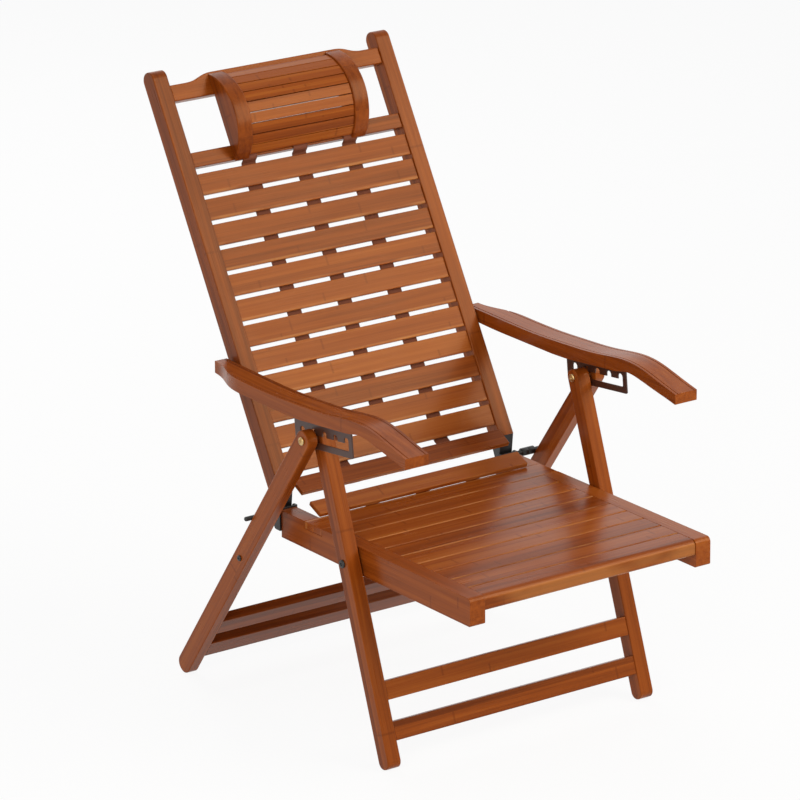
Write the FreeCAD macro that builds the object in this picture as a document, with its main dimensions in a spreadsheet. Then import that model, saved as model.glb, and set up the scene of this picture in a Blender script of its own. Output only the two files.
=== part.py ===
# Folding bamboo recliner: a reclining back set by notched plates under the armrests, and a folding leg frame.
# Millimetres. The chair faces -Y, +Z is up, the floor is Z = 0 and X = 0 is its plane of symmetry.
# Every wooden member is a straight or curved board; its outline lies in the side view and runs along X.

import os
import FreeCAD, Part
import Sketcher
from math import sin, cos, acos, radians, degrees, atan2, hypot

doc = FreeCAD.newDocument("recliner")
sheet = doc.addObject("Spreadsheet::Sheet", "Sizes")

SIZES = [
    # legs
    ("front_leg_lean", 20.0), ("front_leg_wide", 26.0), ("front_leg_deep", 28.0),
    ("rear_leg_lean", 35.5), ("rear_leg_wide", 20.0), ("rear_leg_deep", 34.0),
    ("leg_layer_gap", 10.0), ("foot_ease", 1.0),
    # pivots: the seat pivot above the floor, the next two from it, the arm hinge in and up the stile
    ("seat_pivot_height", 326.0), ("leg_hinge_rise", 198.0),
    ("back_hinge_behind", 232.0), ("back_hinge_drop", 4.0),
    ("arm_hinge_in", 14.55), ("arm_hinge_up", 267.73),
    # front crossbars, centres measured down the leg from the seat pivot
    ("front_bar_upper_down", 218.0), ("front_bar_lower_down", 286.0),
    ("front_bar_tall", 32.0), ("front_bar_thick", 16.0),
    # rear crossbars, centres measured down the leg from the leg hinge
    ("rear_bar_upper_down", 505.0), ("rear_bar_lower_down", 570.0),
    ("rear_bar_tall", 37.0), ("rear_bar_thick", 18.0),
    # seat frame
    ("seat_wide", 490.0), ("rail_wide", 30.0), ("rail_deep", 48.0), ("seat_tilt", 0.8),
    ("rail_ahead", 310.0), ("rail_behind", 222.0), ("rail_nose_round", 9.0), ("side_gap", 4.5),
    ("front_board_long", 44.0), ("front_board_thick", 27.0), ("nose_round", 11.0),
    ("seat_slat_count", 8), ("seat_slat_pitch", 45.8), ("seat_slat_gap", 2.4), ("seat_slat_thick", 11.0),
    ("rear_board_long", 52.0), ("rear_board_thick", 13.0),
    ("batten_wide", 28.0), ("batten_thick", 16.0), ("batten_offset", 105.0),
    # back frame, measured up the back from its hinge
    ("back_lean", 30.4), ("stile_wide", 29.0), ("stile_deep", 33.0),
    ("stile_from", 50.0), ("stile_to", 792.0), ("stile_front", 32.5),
    ("crest_from", 732.0), ("crest_tall", 29.0), ("crest_rise", 11.0), ("crest_thick", 20.0),
    ("head_rail_from", 614.0), ("head_rail_tall", 26.0), ("head_rail_thick", 18.0), ("rail_recess", 2.5),
    ("back_slat_count", 12), ("back_slat_top", 602.0), ("back_slat_pitch", 44.8),
    ("back_slat_tall", 37.3), ("back_slat_thick", 8.0), ("back_slat_recess", 3.0),
    ("strap_wide", 29.0), ("strap_thick", 2.5), ("strap_apart", 104.0),
    ("curl_out", 35.1), ("curl_up", 62.9), ("curl_turn", 33.4), ("curl_slat_tall", 35.5),
    ("mat_slat_long", 33.5), ("mat_overlap", 2.5), ("mat_lift", 0.5), ("mat_turn", 23.8),
    ("mat_tuck", 16.0), ("mat_reach", 26.0),
    ("crest_end_flat", 32.0), ("crest_shoulder_inset", 90.0),
    # headrest
    ("headrest_wide", 271.0), ("headrest_side_thick", 29.5), ("headrest_radius", 90.0),
    ("headrest_rise", 47.0), ("headrest_mid", 690.0), ("headrest_slat_count", 9),
    ("headrest_slat_wide", 17.55), ("headrest_slat_thick", 7.0), ("headrest_slat_sink", 3.5),
    # armrests
    ("arm_wide", 46.0), ("arm_thick", 20.0), ("arm_tail_wide", 24.0), ("arm_side_gap", 0.5),
    ("arm_reach", 276.0), ("arm_hump_ahead", 145.0), ("arm_hump_rise", 69.5), ("arm_back_rise", 11.0),
    ("arm_nose_rise", 46.5), ("arm_tail_past", 22.0), ("arm_taper_long", 110.0),
    ("groove_wide", 1.6), ("groove_deep", 1.0), ("groove_inset", 5.0),
    # notch plates
    ("plate_thick", 2.5), ("notch_pitch", 31.3), ("notch_wide", 12.5), ("notch_tall", 16.0),
    ("channel_tall", 12.5), ("channel_fall", 6.7),
    ("plate_bar", 10.0), ("plate_lower_bar", 11.0), ("plate_tail", 6.0),
    ("plate_top_front", 29.8), ("plate_top_mid", 30.9), ("plate_top_rear", 33.5),
    # hardware
    ("latch_bolt_radius", 3.0), ("pin_play", 0.05), ("head_radius", 7.0), ("head_thick", 3.5),
    ("pivot_bolt_radius", 3.0), ("stop_screw_down", 319.6), ("working_gap", 0.4), ("edge_soft", 1.6),
    # rest rods behind the rear legs, measured up from the back hinge
    ("rest_rod_rise", 22.32), ("rest_rod_radius", 4.0), ("rest_rod_past", 10.0), ("rest_gap", 0.3),
    ("bush_radius", 7.0), ("bush_long", 27.0),
    # hinge brackets on the rails, measured from the back hinge, and brackets under the stiles
    ("end_plate_thick", 2.0), ("end_plate_drop", 12.0), ("end_plate_rise", 28.0),
    ("ear_thick", 3.0), ("ear_behind", 8.0), ("ear_head", 7.0), ("ear_round", 6.0),
    ("hinge_pin_radius", 2.5), ("knuckle_radius", 5.5), ("knuckle_up", 6.0),
    ("nose_out", 9.5), ("nose_up", 18.2),
    ("bracket_wide", 27.0), ("bracket_steel", 2.5),
]
for row, (alias, size) in enumerate(SIZES, 1):
    sheet.set("A%d" % row, alias)
    sheet.set("B%d" % row, str(size))
    sheet.setAlias("B%d" % row, alias)
doc.recompute()


class Sizes:
    """Reads one named size from the table."""

    def __getattr__(self, alias):
        return float(sheet.get(alias))


z = Sizes()
NODES = {}


def bound(text):
    """Turns the size names in a formula into references to the table."""
    names = sorted((alias for alias, _ in SIZES), key=len, reverse=True)
    out, at = "", 0
    while at < len(text):
        for name in names:
            if text.startswith(name, at):
                out += "Sizes." + name
                at += len(name)
                break
        else:
            out += text[at]
            at += 1
    return out


class Frame:
    """A side-view frame: a point (y, z) and a turn about X; u runs along turned Y and v along turned Z."""

    def __init__(self, y, z_up, turn):
        self.y, self.z, self.turn = y, z_up, turn

    def point(self, u, v):
        c, s = cos(radians(self.turn)), sin(radians(self.turn))
        return self.y + u * c - v * s, self.z + u * s + v * c

    def local(self, y, z_up):
        c, s = cos(radians(self.turn)), sin(radians(self.turn))
        dy, dz = y - self.y, z_up - self.z
        return dy * c + dz * s, -dy * s + dz * c

    def placed(self, x, u, v, extra=0.0):
        y, z_up = self.point(u, v)
        turn = FreeCAD.Rotation(FreeCAD.Vector(1, 0, 0), self.turn + extra)
        return FreeCAD.Placement(FreeCAD.Vector(x, y, z_up), turn)


# Joint positions in the side view.
seat_joint = (0.0, z.seat_pivot_height)
leg_rise = z.leg_hinge_rise
leg_joint = (leg_rise * sin(radians(z.front_leg_lean)) / cos(radians(z.front_leg_lean)),
             z.seat_pivot_height + leg_rise)
back_joint = (z.back_hinge_behind, z.seat_pivot_height - z.back_hinge_drop)
# The middle of the chair's depth, from the rail's front to the rear of the stile's rounded top, is Y = 0.
top_round = z.stile_deep / 2 - z.foot_ease
back_top = (z.back_hinge_behind + (z.stile_deep - z.stile_front - top_round) * cos(radians(z.back_lean))
            + (z.stile_to - top_round) * sin(radians(z.back_lean)) + top_round)
rail_front = -z.rail_ahead * cos(radians(z.seat_tilt)) - z.rail_deep / 2 * sin(radians(z.seat_tilt))
middle = (back_top + rail_front) / 2.0
seat_joint, leg_joint, back_joint = [(y - middle, h) for y, h in (seat_joint, leg_joint, back_joint)]

front = Frame(seat_joint[0], seat_joint[1], -z.front_leg_lean)
rear = Frame(leg_joint[0], leg_joint[1], z.rear_leg_lean)
seat = Frame(seat_joint[0], seat_joint[1], -z.seat_tilt)
back = Frame(back_joint[0], back_joint[1], -z.back_lean)
arm_uv = (z.arm_hinge_in - z.stile_front, z.arm_hinge_up)
arm_joint = back.point(*arm_uv)
plate = Frame(leg_joint[0], leg_joint[1], -z.channel_fall)

# Layers from the middle outwards: seat rail and stile, front leg, rear leg.
rail_out = z.seat_wide / 2
rail_in = rail_out - z.rail_wide
front_in = rail_out + z.side_gap
front_out = front_in + z.front_leg_wide
rear_in = front_out + z.leg_layer_gap
rear_out = rear_in + z.rear_leg_wide


working = doc.addObject("Spreadsheet::Sheet", "Working")


def worked_out(text):
    """The value of a formula written in size names."""
    working.set("A1", "=" + bound(text))
    working.recompute()
    value = working.get("A1")
    return float(getattr(value, "Value", value))


def side_plane(body):
    for part in body.Origin.OriginFeatures:
        if part.Role == "YZ_Plane":
            return part


def side_sketch(body, name):
    sketch = body.newObject("Sketcher::SketchObject", name)
    sketch.AttachmentSupport = [(side_plane(body), "")]
    sketch.MapMode = "FlatFace"
    return sketch


def hold(sketch, item, spot, texts, sizes):
    """Holds a point of a sketch at its two sizes from the origin."""
    for kind, text, size, axis in (("DistanceX", texts[0], sizes[0], -2),
                                   ("DistanceY", texts[1], sizes[1], -1)):
        if text == "0":
            sketch.addConstraint(Sketcher.Constraint("PointOnObject", item, spot, axis))
            continue
        index = sketch.addConstraint(Sketcher.Constraint(kind, -1, 1, item, spot, size))
        sketch.setExpression("Constraints[%d]" % index, bound(text))


def outline_sketch(body, loops):
    """Draws closed outlines from their corners, each corner held at its own two sizes."""
    sketch = side_sketch(body, body.Name + "_outline")
    spots = []
    first = 0
    for corners in loops:
        here = [(worked_out(u), worked_out(v)) for u, v in corners]
        count = len(here)
        for i, (u, v) in enumerate(here):
            nu, nv = here[(i + 1) % count]
            sketch.addGeometry(Part.LineSegment(FreeCAD.Vector(u, v, 0), FreeCAD.Vector(nu, nv, 0)), False)
        for i in range(count):
            sketch.addConstraint(Sketcher.Constraint("Coincident", first + i, 2, first + (i + 1) % count, 1))
        for i in range(count):
            hold(sketch, first + i, 1, corners[i], here[i])
        first += count
        spots += here
    return sketch, spots


def board(node, corners, run, frame, x, u, v, turn=0.0, rounds=None, soft=False, holes=(), bores=()):
    """A board whose side-view outline runs along X; rounds gives the radius at numbered corners."""
    body = doc.addObject("PartDesign::Body", node)
    body.Label = node
    sketch, spots = outline_sketch(body, [corners] + list(holes))
    pad = body.newObject("PartDesign::Pad", node + "_run")
    pad.Profile = sketch
    pad.setExpression("Length", bound(run))
    doc.recompute()
    tip = pad
    for radius in sorted(set((rounds or {}).values())):
        wanted = [spots[i] for i in rounds if rounds[i] == radius]
        edges = []
        for index, edge in enumerate(tip.Shape.Edges, 1):
            ends = [(p.Point.y, p.Point.z) for p in edge.Vertexes]
            if len(ends) == 2 and hypot(ends[0][0] - ends[1][0], ends[0][1] - ends[1][1]) < 1e-6:
                if any(hypot(ends[0][0] - a, ends[0][1] - b) < 1e-4 for a, b in wanted):
                    edges.append("Edge%d" % index)
        fillet = body.newObject("PartDesign::Fillet", node + "_round")
        fillet.Base = (tip, edges)
        fillet.setExpression("Radius", bound(radius))
        body.Tip = fillet
        doc.recompute()
        tip = fillet
    if soft:
        edges = []
        for index, edge in enumerate(tip.Shape.Edges, 1):
            box = edge.BoundBox
            if box.XLength < 1e-6:
                edges.append("Edge%d" % index)
        fillet = body.newObject("PartDesign::Fillet", node + "_soft")
        fillet.Base = (tip, edges)
        fillet.setExpression("Radius", bound("edge_soft"))
        body.Tip = fillet
        tip = fillet
    if bores:
        doc.recompute()
        circles = side_sketch(body, node + "_bore_places")
        for k, (u_text, v_text, radius) in enumerate(bores):
            at_u, at_v, size = worked_out(u_text), worked_out(v_text), worked_out(radius)
            ring = Part.Circle(FreeCAD.Vector(at_u, at_v, 0), FreeCAD.Vector(0, 0, 1), size)
            circles.addGeometry(ring, False)
            hold(circles, k, 3, (u_text, v_text), (at_u, at_v))
            index = circles.addConstraint(Sketcher.Constraint("Radius", k, size))
            circles.setExpression("Constraints[%d]" % index, bound(radius))
        pocket = body.newObject("PartDesign::Pocket", node + "_bores")
        pocket.Profile = circles
        pocket.Type = 1
        pocket.Midplane = True
        tip = pocket
    body.Tip = tip
    body.Placement = frame.placed(x, u, v, turn)
    NODES[node] = body
    return body


def rectangle(long, tall):
    return [("0", "0"), (long, "0"), (long, tall), ("0", tall)]


def both_sides(inner, outer):
    """The X of the lower face of a pair of boards: left first, then right."""
    return (("left", -outer), ("right", inner))


# Legs: each ends in a rounded foot whose lowest line is on the floor
round_front = "(front_leg_deep/2-foot_ease)"
round_rear = "(rear_leg_deep/2-foot_ease)"
front_foot = (round_front + "+(seat_pivot_height-" + round_front + "-foot_ease*sin(front_leg_lean))"
              "/cos(front_leg_lean)")
rear_foot = (round_rear + "+(seat_pivot_height+leg_hinge_rise-" + round_rear
             + "-foot_ease*sin(rear_leg_lean))/cos(rear_leg_lean)")
front_head = "leg_hinge_rise/cos(front_leg_lean)"
front_long = front_foot + "+" + front_head + "+front_leg_deep/2"
rear_long = rear_foot + "+rear_leg_deep/2"
front_up = leg_rise / cos(radians(z.front_leg_lean))
for side, x in both_sides(front_in, front_out):
    board("front_leg_" + side, rectangle("front_leg_deep", front_long), "front_leg_wide", front, x,
          -z.front_leg_deep / 2, -worked_out(front_foot),
          rounds={0: round_front, 1: round_front, 2: round_front, 3: round_front}, soft=True,
          bores=[("front_leg_deep/2", front_foot, "pivot_bolt_radius+pin_play"),
                 ("front_leg_deep/2", front_long + "-front_leg_deep/2", "latch_bolt_radius+pin_play")])
for side, x in both_sides(rear_in, rear_out):
    board("rear_leg_" + side, rectangle("rear_leg_deep", rear_long), "rear_leg_wide", rear, x,
          -z.rear_leg_deep / 2, -worked_out(rear_foot),
          rounds={0: round_rear, 1: round_rear, 2: round_rear, 3: round_rear}, soft=True,
          bores=[("rear_leg_deep/2", rear_foot, "latch_bolt_radius+pin_play"),
                 ("rear_leg_deep/2", rear_foot + "-stop_screw_down", "latch_bolt_radius+pin_play")])
for name, down in (("upper", z.front_bar_upper_down), ("lower", z.front_bar_lower_down)):
    board("front_crossbar_" + name, rectangle("front_bar_thick", "front_bar_tall"), "seat_wide+2*side_gap",
          front, -front_in, -z.front_leg_deep / 2 + 1.0, -down - z.front_bar_tall / 2,
          rounds={0: "edge_soft", 1: "edge_soft", 2: "edge_soft", 3: "edge_soft"})
for name, down in (("upper", z.rear_bar_upper_down), ("lower", z.rear_bar_lower_down)):
    board("rear_crossbar_" + name, rectangle("rear_bar_thick", "rear_bar_tall"),
          "seat_wide+2*side_gap+2*front_leg_wide+2*leg_layer_gap",
          rear, -rear_in, -z.rear_leg_deep / 2 + 1.0, -down - z.rear_bar_tall / 2,
          rounds={0: "edge_soft", 1: "edge_soft", 2: "edge_soft", 3: "edge_soft"})

# Seat: two rails with a housing for the rear board, slats flush between them
slats_from = "front_board_long+seat_slat_gap"
board_from = "(front_board_long+seat_slat_gap+seat_slat_count*seat_slat_pitch)"
rail_long = "(rail_ahead+rail_behind)"
rail_outline = [("0", "0"), (rail_long, "0"), (rail_long, "rail_deep"),
                (board_from + "+rear_board_long", "rail_deep"),
                (board_from + "+rear_board_long", "rail_deep-rear_board_thick"),
                (board_from, "rail_deep-rear_board_thick"), (board_from, "rail_deep"), ("0", "rail_deep")]
for side, x in both_sides(rail_in, rail_out):
    board("seat_rail_" + side, rail_outline, "rail_wide", seat, x, -z.rail_ahead, -z.rail_deep / 2,
          rounds={7: "rail_nose_round", 0: "edge_soft*2"},
          bores=[("rail_ahead", "rail_deep/2", "pivot_bolt_radius+pin_play")])
deck_run = "seat_wide-2*rail_wide"
deck_top = z.rail_deep / 2
board("seat_front_board", rectangle("front_board_long", "front_board_thick"), deck_run, seat, -rail_in,
      -z.rail_ahead + 1.5, deck_top - z.front_board_thick, rounds={3: "nose_round", 0: "nose_round*0.4"})
for k in range(int(z.seat_slat_count)):
    start = z.front_board_long + z.seat_slat_gap + k * z.seat_slat_pitch + 1.5
    board("seat_slat_%d" % (k + 1), rectangle("seat_slat_pitch-seat_slat_gap", "seat_slat_thick"), deck_run,
          seat, -rail_in, -z.rail_ahead + start, deck_top - z.seat_slat_thick,
          rounds={2: "edge_soft", 3: "edge_soft"})
rear_start = z.front_board_long + z.seat_slat_gap + z.seat_slat_count * z.seat_slat_pitch
board("seat_rear_board", rectangle("rear_board_long", "rear_board_thick"), "seat_wide", seat, -rail_out,
      -z.rail_ahead + rear_start, deck_top - z.rear_board_thick,
      rounds={2: "edge_soft", 3: "edge_soft"})
batten_long = "front_board_long+seat_slat_gap+seat_slat_count*seat_slat_pitch+rear_board_long-6"
for side, x in both_sides(z.batten_offset - z.batten_wide / 2, z.batten_offset + z.batten_wide / 2):
    batten_outline = [("0", "0"), (batten_long + "-front_board_long", "0"),
                      (batten_long + "-front_board_long", "batten_thick-rear_board_thick+seat_slat_thick"),
                      (batten_long + "-front_board_long-rear_board_long",
                       "batten_thick-rear_board_thick+seat_slat_thick"),
                      (batten_long + "-front_board_long-rear_board_long", "batten_thick"),
                      ("0", "batten_thick")]
    board("seat_batten_" + side, batten_outline, "batten_wide", seat, x,
          -z.rail_ahead + z.front_board_long + 2.0, deck_top - z.seat_slat_thick - z.batten_thick)

# Back: two stiles, crest and head rails, slats flush between the stiles, straps behind them
stile_in = rail_in + (z.rail_wide - z.stile_wide) / 2
stile_out = stile_in + z.stile_wide
stile_front = z.stile_front
between = "seat_wide-rail_wide-stile_wide"
for side, x in both_sides(stile_in, stile_out):
    board("back_stile_" + side, rectangle("stile_deep", "stile_to-stile_from"), "stile_wide", back, x,
          -stile_front, z.stile_from, rounds={2: "stile_deep/2-foot_ease", 3: "stile_deep/2-foot_ease"},
          soft=True, bores=[("arm_hinge_in", "arm_hinge_up-stile_from", "pivot_bolt_radius+pin_play")])
board("lower_head_rail", rectangle("head_rail_thick", "head_rail_tall"), between, back, -stile_in,
      -stile_front + z.rail_recess, z.head_rail_from,
      rounds={0: "edge_soft", 1: "edge_soft", 2: "edge_soft", 3: "edge_soft"})
slat_face = -stile_front + z.back_slat_recess
for k in range(int(z.back_slat_count)):
    board("back_slat_%02d" % (k + 1), rectangle("back_slat_thick", "back_slat_tall"), between, back,
          -stile_in, slat_face, z.back_slat_top - k * z.back_slat_pitch - z.back_slat_tall,
          rounds={0: "edge_soft", 3: "edge_soft"})
curl = z.curl_turn
curl_long = z.curl_slat_tall
low_u = -z.curl_out - curl_long * sin(radians(curl))
low_v = z.curl_up - curl_long * cos(radians(curl))
board("back_slat_13", rectangle("back_slat_thick", "curl_slat_tall"), between, back, -stile_in,
      low_u, low_v, -curl, rounds={0: "edge_soft", 3: "edge_soft"})

# Straps: down behind the slats, then forward under the curled slat
run_down = "(curl_slat_tall-2)"
tail_u = -z.curl_out + z.back_slat_thick * cos(radians(curl)) - (curl_long - 2) * sin(radians(curl))
tail_v = z.curl_up - z.back_slat_thick * sin(radians(curl)) - (curl_long - 2) * cos(radians(curl))
origin_v = tail_v - z.strap_thick * sin(radians(curl))
web = "(stile_front-back_slat_recess-back_slat_thick)"
tail_u_text = "(-curl_out+back_slat_thick*cos(curl_turn)-" + run_down + "*sin(curl_turn))"
tail_v_text = "(curl_up-back_slat_thick*sin(curl_turn)-" + run_down + "*cos(curl_turn))"
origin_text = "(" + tail_v_text + "-strap_thick*sin(curl_turn))"
bend_text = ("(curl_up-back_slat_thick*sin(curl_turn)"
             "+(curl_out-back_slat_thick*cos(curl_turn)-" + web + ")/tan(curl_turn))")
strap_outline = [
    ("0", "strap_thick*sin(curl_turn)"),
    ("strap_thick*cos(curl_turn)", "0"),
    ("-" + web + "+strap_thick-" + tail_u_text, bend_text + "-strap_thick*tan(curl_turn/2)-" + origin_text),
    ("-" + web + "+strap_thick-" + tail_u_text, "head_rail_from-0.2-" + origin_text),
    ("-" + web + "-" + tail_u_text, "head_rail_from-0.2-" + origin_text),
    ("-" + web + "-" + tail_u_text, bend_text + "-" + origin_text),
]


def group(node, members):
    """One node made of separate solids."""
    joined = doc.addObject("Part::Compound", node)
    joined.Label = node
    joined.Links = members
    NODES[node] = joined
    return joined


straps = []
for k, x in enumerate((-z.strap_apart, 0.0, z.strap_apart)):
    piece = board("strap_run_%d" % (k + 1), strap_outline, "strap_wide", back, x - z.strap_wide / 2, tail_u,
                  origin_v)
    del NODES[piece.Label]
    straps.append(piece)
group("back_straps", straps)

# The last slat lies on the seat, carried by strap ends tucked behind the rear board
board_edge = -z.rail_ahead + rear_start + z.rear_board_long
mat = Frame(*seat.point(board_edge - z.mat_overlap, deck_top + z.mat_lift), z.mat_turn - z.seat_tilt)
board("back_slat_14", rectangle("mat_slat_long", "back_slat_thick"), between, mat, -stile_in, 0, 0,
      rounds={2: "edge_soft", 3: "edge_soft"})
slope = "tan(mat_turn)"
ends_outline = [
    ("0", "0"), ("strap_thick", "0"),
    ("strap_thick", "mat_tuck+mat_lift+(mat_overlap+strap_thick)*" + slope + "-strap_thick/cos(mat_turn)"),
    ("mat_reach", "mat_tuck+mat_lift+(mat_overlap+mat_reach)*" + slope + "-strap_thick/cos(mat_turn)"),
    ("mat_reach", "mat_tuck+mat_lift+(mat_overlap+mat_reach)*" + slope),
    ("0", "mat_tuck+mat_lift+mat_overlap*" + slope)]
ends = []
for k, x in enumerate((-z.strap_apart, 0.0, z.strap_apart)):
    piece = board("strap_end_%d" % (k + 1), ends_outline, "strap_wide", seat, x - z.strap_wide / 2,
                  board_edge, deck_top - z.mat_tuck)
    del NODES[piece.Label]
    ends.append(piece)
group("strap_ends", ends)


def feature(kind, name, sizes, placement):
    made = doc.addObject(kind, name)
    for prop, text in sizes.items():
        made.setExpression(prop, bound(text))
    made.Placement = placement
    return made


def rod(name, long, radius, frame, x, u, v):
    """A round bar along X from the face at x."""
    y, z_up = frame.point(u, v)
    across = FreeCAD.Placement(FreeCAD.Vector(x, y, z_up), FreeCAD.Rotation(FreeCAD.Vector(0, 1, 0), 90))
    return feature("Part::Cylinder", name, {"Height": long, "Radius": radius}, across)


def block(name, wide, deep, tall, frame, x, u, v, turn=0.0):
    return feature("Part::Box", name, {"Length": wide, "Width": deep, "Height": tall},
                   frame.placed(x, u, v, turn))


def fused(name, members):
    made = doc.addObject("Part::MultiFuse", name)
    made.Shapes = members
    return made


def mirrored(name, source):
    made = doc.addObject("Part::Mirroring", name)
    made.Source = source
    made.Normal = FreeCAD.Vector(1, 0, 0)
    made.Base = FreeCAD.Vector(0, 0, 0)
    return made


def pair(node, source):
    """The piece on the right and its mirror image on the left, as one node."""
    return group(node, [source, mirrored(node + "_mirror", source)])


def cut(name, base, tool):
    made = doc.addObject("Part::Cut", name)
    made.Base = base
    made.Tool = tool
    return made


# Headrest: a D-shaped board at each side and slats round the curve between them
chord = -stile_front + z.rail_recess
core_u = chord - z.headrest_rise + z.headrest_radius
for side, x in both_sides(z.headrest_wide / 2 - z.headrest_side_thick, z.headrest_wide / 2):
    name = "headrest_side_" + side
    disc = rod(name + "_disc", "headrest_side_thick", "headrest_radius", back, x, core_u, z.headrest_mid)
    room = block(name + "_room", "headrest_side_thick", "headrest_rise+5", "2*headrest_radius", back, x,
                 chord - z.headrest_rise - 5, z.headrest_mid - z.headrest_radius)
    shaped = doc.addObject("Part::Common", name)
    shaped.Label = name
    shaped.Base, shaped.Tool = disc, room
    NODES[name] = shaped
# The last slat at each end stops just in front of the rails behind it
count = int(z.headrest_slat_count)
outer_reach = z.headrest_radius - z.headrest_slat_sink
inner_reach = outer_reach - z.headrest_slat_thick
chord_reach = z.headrest_radius - z.headrest_rise + z.working_gap
end_angle = (degrees(acos(chord_reach / hypot(inner_reach, z.headrest_slat_wide / 2)))
             - degrees(atan2(z.headrest_slat_wide / 2, inner_reach)))
step = 2 * end_angle / (count - 1)
ring = []
for k in range(count):
    angle = (k - (count - 1) / 2.0) * step
    u = core_u - outer_reach * cos(radians(angle)) - z.headrest_slat_wide / 2 * sin(radians(angle))
    v = z.headrest_mid + outer_reach * sin(radians(angle)) - z.headrest_slat_wide / 2 * cos(radians(angle))
    ring.append(block("headrest_slat_%d" % (k + 1), "headrest_wide-2*headrest_side_thick",
                      "headrest_slat_thick", "headrest_slat_wide", back,
                      -z.headrest_wide / 2 + z.headrest_side_thick, u, v, -angle))
group("headrest_slats", ring)

# Crest rail: straight below, with a soft shoulder at each end of its raised top
half_run = stile_in
low, high = z.crest_tall, z.crest_tall + z.crest_rise
inner = half_run - z.crest_shoulder_inset
outer = half_run - z.crest_end_flat
vector = FreeCAD.Vector
shoulder = []
for sign in (-1, 1):
    curve = Part.BezierCurve()
    middle_x = (inner + outer) / 2
    curve.setPoles([vector(sign * outer, 0, low), vector(sign * middle_x, 0, low),
                    vector(sign * middle_x, 0, high), vector(sign * inner, 0, high)])
    shoulder.append(curve.toShape())
edges = [Part.makeLine(vector(-half_run, 0, 0), vector(half_run, 0, 0)),
         Part.makeLine(vector(half_run, 0, 0), vector(half_run, 0, low)),
         Part.makeLine(vector(half_run, 0, low), vector(outer, 0, low)), shoulder[1],
         Part.makeLine(vector(inner, 0, high), vector(-inner, 0, high)), shoulder[0],
         Part.makeLine(vector(-outer, 0, low), vector(-half_run, 0, low)),
         Part.makeLine(vector(-half_run, 0, low), vector(-half_run, 0, 0))]
face = Part.Face(Part.Wire(Part.__sortEdges__(edges)))
crest = doc.addObject("Part::Feature", "crest_rail")
crest.Shape = face.extrude(vector(0, z.crest_thick, 0))
crest.Placement = back.placed(0, chord, z.crest_from)
NODES["crest_rail"] = crest

# Notch plate: a closed slot whose upper edge has five round-topped notches
notch_count = 5
plate_long = "(2*plate_bar+plate_tail+4*notch_pitch+notch_wide)"
base_up = "(channel_tall/2+plate_lower_bar)"
plate_outline = [("0", "0"), (plate_long, "0"), (plate_long, base_up + "+plate_top_rear"),
                 ("plate_bar+3.5*notch_pitch+notch_wide/2", base_up + "+plate_top_mid"),
                 ("0", base_up + "+plate_top_front")]
slot = [("plate_bar", "plate_lower_bar"), ("plate_bar+4*notch_pitch+notch_wide", "plate_lower_bar")]
for k in range(notch_count - 1, -1, -1):
    left = "plate_bar+%d*notch_pitch" % k
    slot += [(left + "+notch_wide", base_up + "+notch_tall"), (left, base_up + "+notch_tall")]
    if k:
        slot += [(left, "plate_lower_bar+channel_tall"),
                 ("plate_bar+%d*notch_pitch+notch_wide" % (k - 1), "plate_lower_bar+channel_tall")]
slot_rounds = {5: "edge_soft*2", 6: "edge_soft*2"}
for k in range(notch_count):
    slot_rounds[5 + 2 + 4 * k] = "notch_wide/2-0.4"
    slot_rounds[5 + 3 + 4 * k] = "notch_wide/2-0.4"
slot_rounds.update({0: "edge_soft*2", 1: "edge_soft*3"})
plate_front = -(z.plate_bar + z.notch_wide / 2 + 3 * z.notch_pitch)
plate_low = -(z.channel_tall / 2 + z.plate_lower_bar)
plate_in = (front_out + rear_in) / 2 - z.plate_thick / 2
for side, x in both_sides(plate_in, plate_in + z.plate_thick):
    board("notch_plate_" + side, plate_outline, "plate_thick", plate, x, plate_front, plate_low,
          rounds=slot_rounds, holes=[slot])

# Armrest: an S-curved board, its underside following the top of the notch plate
tail = plate_front + 2 * z.plate_bar + z.plate_tail + 4 * z.notch_pitch + z.notch_wide
seat_on = [plate.point(plate_front, z.plate_top_front),
           plate.point(plate_front + z.plate_bar + 3.5 * z.notch_pitch + z.notch_wide / 2, z.plate_top_mid),
           plate.point(tail, z.plate_top_rear)]
rear_end = arm_joint[0] + z.arm_tail_past
ahead = leg_joint[0] - z.arm_reach
hump = leg_joint[0] - z.arm_hump_ahead
hump_top = leg_joint[1] + z.arm_hump_rise
nose_top = leg_joint[1] + z.arm_nose_rise
back_top_line = arm_joint[1] + z.arm_back_rise
top_line = [(ahead, nose_top), (ahead + 22, nose_top + 4.5),
            (hump - 80, hump_top - 12.0), (hump - 32, hump_top - 2.0),
            (hump, hump_top), (hump + 34, hump_top - 2.5),
            (leg_joint[0] - 60, hump_top - 9.5), (leg_joint[0] + 15, back_top_line + 5.0),
            (leg_joint[0] + 100, back_top_line + 0.5), (leg_joint[0] + 200, back_top_line),
            (rear_end, back_top_line + 1.0)]
thick = z.arm_thick
under_back = [seat_on[2], (leg_joint[0] + 130, back_top_line - thick - 2.5),
              (leg_joint[0] + 200, back_top_line - thick - 3.0), (rear_end, back_top_line - thick)]
under_front = [(ahead, nose_top - 0.9 * thick), (ahead + 25, nose_top - 0.65 * thick),
               (hump - 72, hump_top - 1.5 * thick), (hump - 30, hump_top - 1.1 * thick),
               (hump, hump_top - thick), (seat_on[0][0] - 12, seat_on[0][1] + 1.6), seat_on[0]]


def through(points, x=0.0):
    curve = Part.BSplineCurve()
    curve.interpolate([vector(x, y, h) for y, h in points])
    return curve.toShape()


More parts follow.
